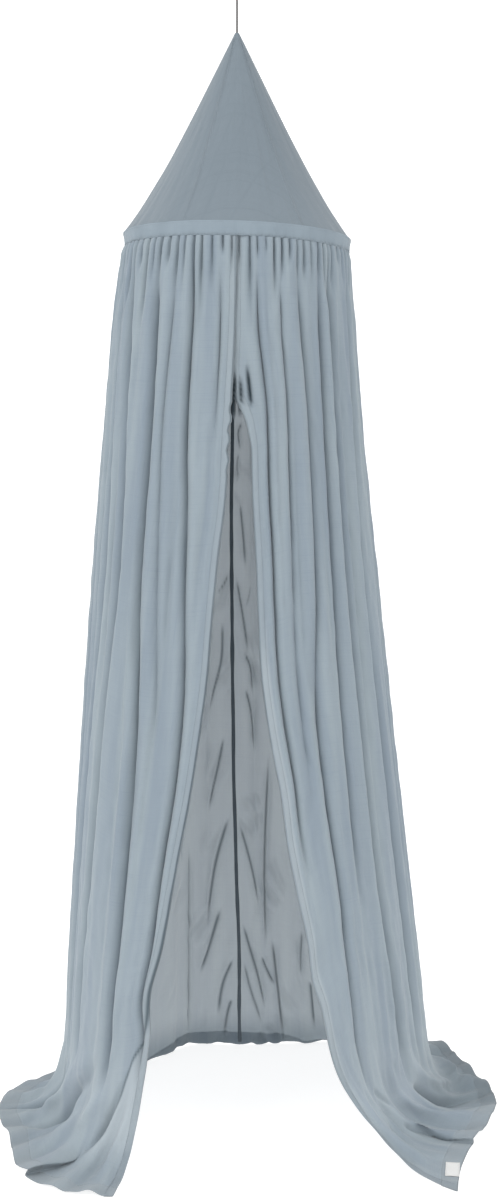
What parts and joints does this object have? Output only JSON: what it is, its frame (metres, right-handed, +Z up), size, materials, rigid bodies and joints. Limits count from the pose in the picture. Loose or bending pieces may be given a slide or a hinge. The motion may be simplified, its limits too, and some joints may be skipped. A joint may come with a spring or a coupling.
{
  "type": "mosquito net canopy with hoop",
  "caption": "Sheer cotton canopy: a pointed cone on a round hoop, with a long gathered skirt that opens at the front and spreads on the floor, hung by a cord.",
  "frame": {"origin": "inside top of the cord's loop, where a hook bears", "axes": "+Z up along the cord, -Y towards the open front, +X to the right seen from the front; the floor is 2.519 m below the origin"},
  "size_m": [1.11, 1.027, 2.5243],
  "materials": {
    "canopy_cloth": "matt sheer dusty blue cotton",
    "binding": "matt dark blue-grey cotton",
    "label": "matt white satin ribbon, blank",
    "cord": "matt pale grey twisted cotton",
    "hoop": "smooth white"
  },
  "bodies": {
    "root": {"gore_1": "canopy_cloth", "gore_2": "canopy_cloth", "gore_3": "canopy_cloth", "gore_4": "canopy_cloth", "gore_5": "canopy_cloth", "gore_6": "canopy_cloth", "band": "canopy_cloth", "hoop": "hoop", "skirt_left": "canopy_cloth", "skirt_right": "canopy_cloth", "back_binding": "binding", "label": "label", "hang_cord": "cord", "hang_loop": "cord"}
  },
  "joints": []
}
